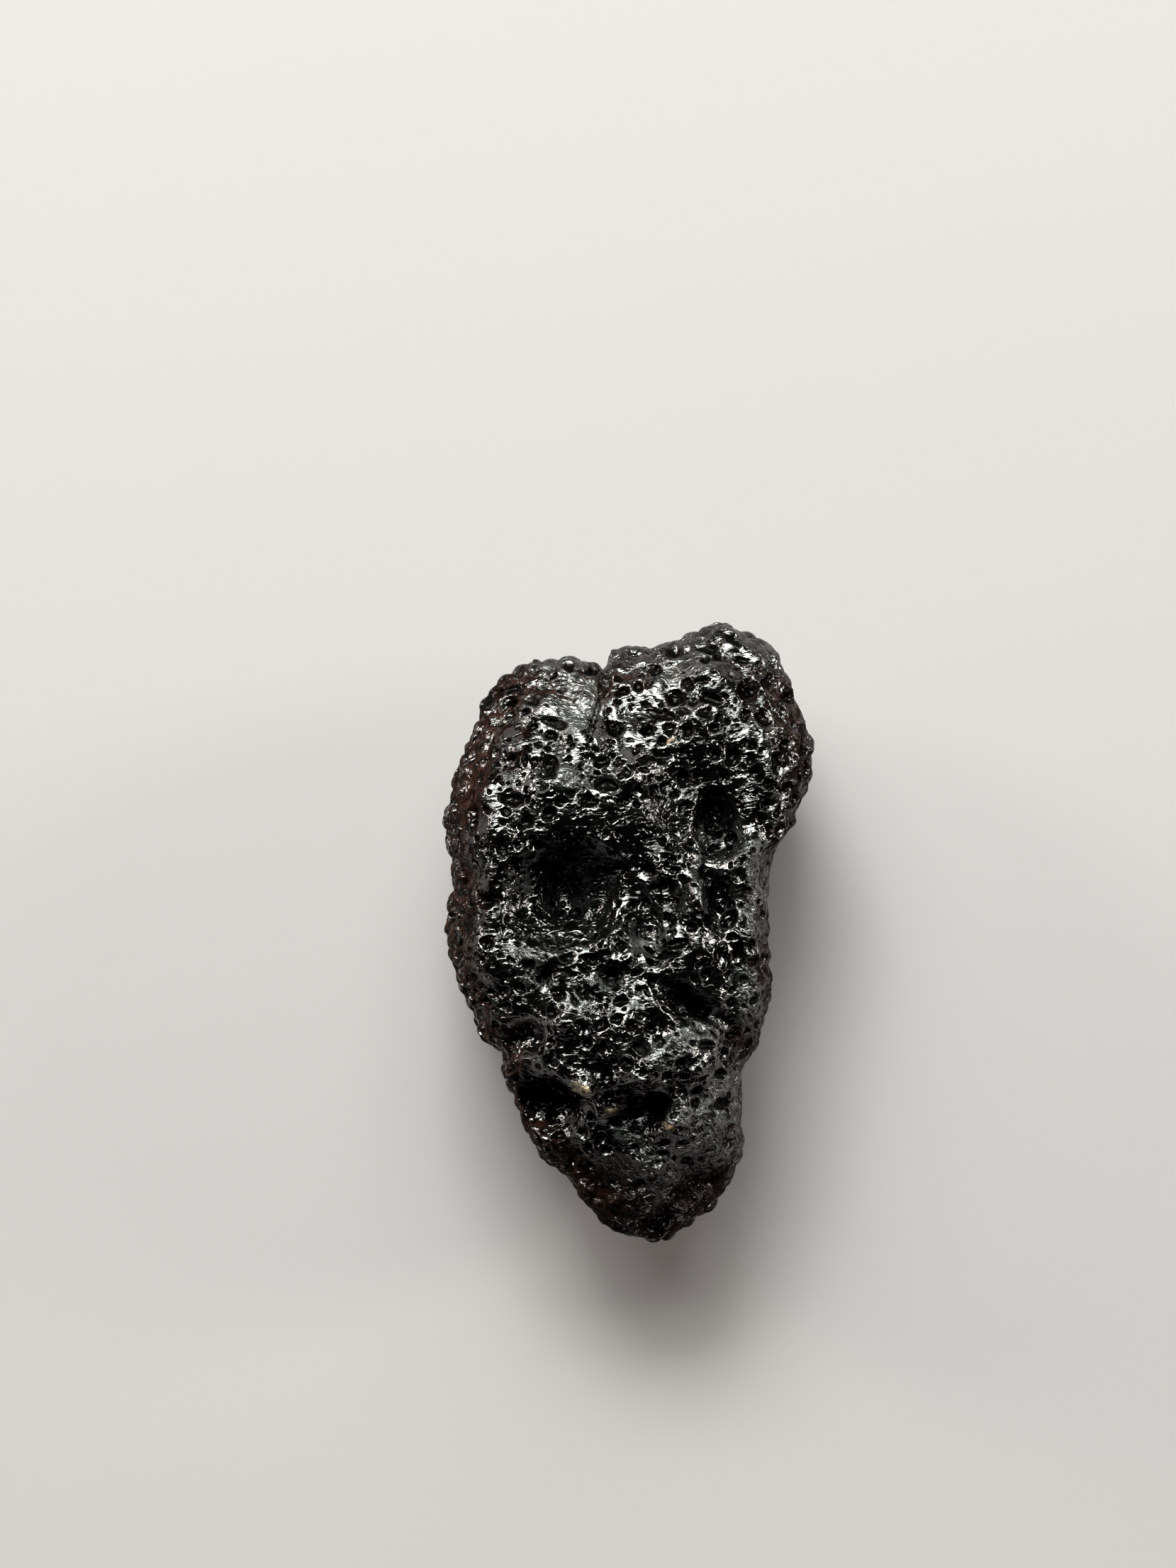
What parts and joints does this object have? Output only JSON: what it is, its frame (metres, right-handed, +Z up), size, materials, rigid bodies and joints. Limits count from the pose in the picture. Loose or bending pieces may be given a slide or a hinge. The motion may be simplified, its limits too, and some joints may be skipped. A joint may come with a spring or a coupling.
{
  "type": "tektite",
  "caption": "Small wedge-shaped natural glass stone with a pitted, deeply hollowed skin, lying on a small flat spot.",
  "frame": {"origin": "middle of the stone's box in plan, at the height of the flat spot that it lies on", "axes": "+Y along the stone from the narrow tip to the broad notched end, +X to the side with the square shoulder, +Z up through the crown"},
  "size_m": [0.0114, 0.0192, 0.0086],
  "materials": {
    "black_natural_glass": "glossy, opaque, with brown and grey-green tints"
  },
  "bodies": {
    "root": {"tektite": "black_natural_glass"}
  },
  "joints": []
}
